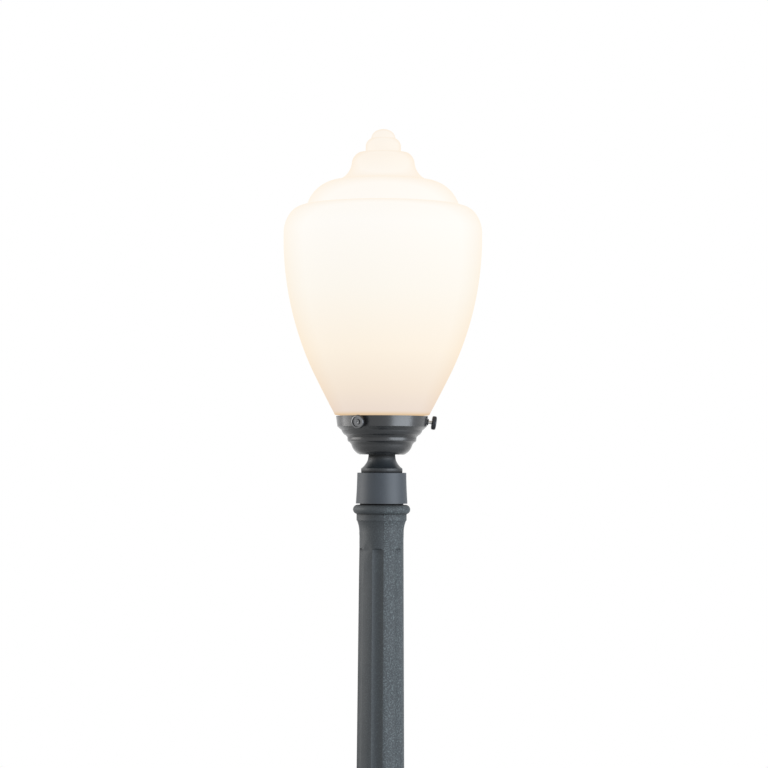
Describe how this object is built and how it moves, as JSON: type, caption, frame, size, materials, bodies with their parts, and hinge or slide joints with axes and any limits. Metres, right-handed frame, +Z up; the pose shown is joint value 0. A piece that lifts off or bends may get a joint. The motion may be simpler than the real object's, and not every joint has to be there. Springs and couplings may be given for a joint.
{
  "type": "garden post light",
  "caption": "Slim fluted tapering garden post with a lit opal acorn globe held in a stepped cup by thumb screws.",
  "frame": {"origin": "centre of the base's underside", "axes": "+Z up the post, front towards -Y, +X to the right seen from the front"},
  "size_m": [0.2336, 0.2336, 1.5026],
  "materials": {
    "cast_aluminium": "dark slate-grey stoved paint over a cast skin",
    "spun_aluminium": "dark slate-grey stoved paint over turned metal",
    "turned_neck": "glossy dark stoved paint",
    "opal_glass": "lit opal glass",
    "bright_steel": "zinc plated",
    "dark_steel": "blackened",
    "brass": "satin",
    "porcelain": "glazed",
    "black_rubber": "matt",
    "black_sheath": "matt",
    "white_nylon": "matt",
    "lamp_envelope": "frosted"
  },
  "bodies": {
    "lamp_post": {"post": "cast_aluminium", "base_flange": "cast_aluminium", "base_screws": "bright_steel", "cable_bush": "black_rubber", "terminal_block": "white_nylon", "terminal_screws": "bright_steel", "lamp_lead": "black_sheath", "collar": "spun_aluminium", "collar_screws": "bright_steel", "neck": "turned_neck", "gallery": "spun_aluminium", "screw_inserts": "dark_steel", "nipple": "brass", "nipple_washer": "bright_steel", "lower_nut": "bright_steel", "upper_nut": "bright_steel", "holder_bracket": "bright_steel", "bracket_screws": "bright_steel", "holder_body": "porcelain", "holder_shell": "brass", "holder_contact": "brass", "lamp": "lamp_envelope", "globe_gasket": "black_rubber", "glass_globe": "opal_glass"},
    "thumb_screw_front": {"thumb_screw_front_shank": "bright_steel", "thumb_screw_front_head": "dark_steel"},
    "thumb_screw_right": {"thumb_screw_right_shank": "bright_steel", "thumb_screw_right_head": "dark_steel"},
    "thumb_screw_rear": {"thumb_screw_rear_shank": "bright_steel", "thumb_screw_rear_head": "dark_steel"}
  },
  "joints": [
    {"name": "thumb_screw_front_travel", "type": "slide", "parent": "lamp_post", "child": "thumb_screw_front", "axis": [-0.4497, -0.8826, -0.1369], "range_m": [0, 0.0045]},
    {"name": "thumb_screw_right_travel", "type": "slide", "parent": "lamp_post", "child": "thumb_screw_right", "axis": [0.9892, 0.0518, -0.1369], "range_m": [0, 0.0045]},
    {"name": "thumb_screw_rear_travel", "type": "slide", "parent": "lamp_post", "child": "thumb_screw_rear", "axis": [-0.5395, 0.8308, -0.1369], "range_m": [0, 0.0045]}
  ]
}
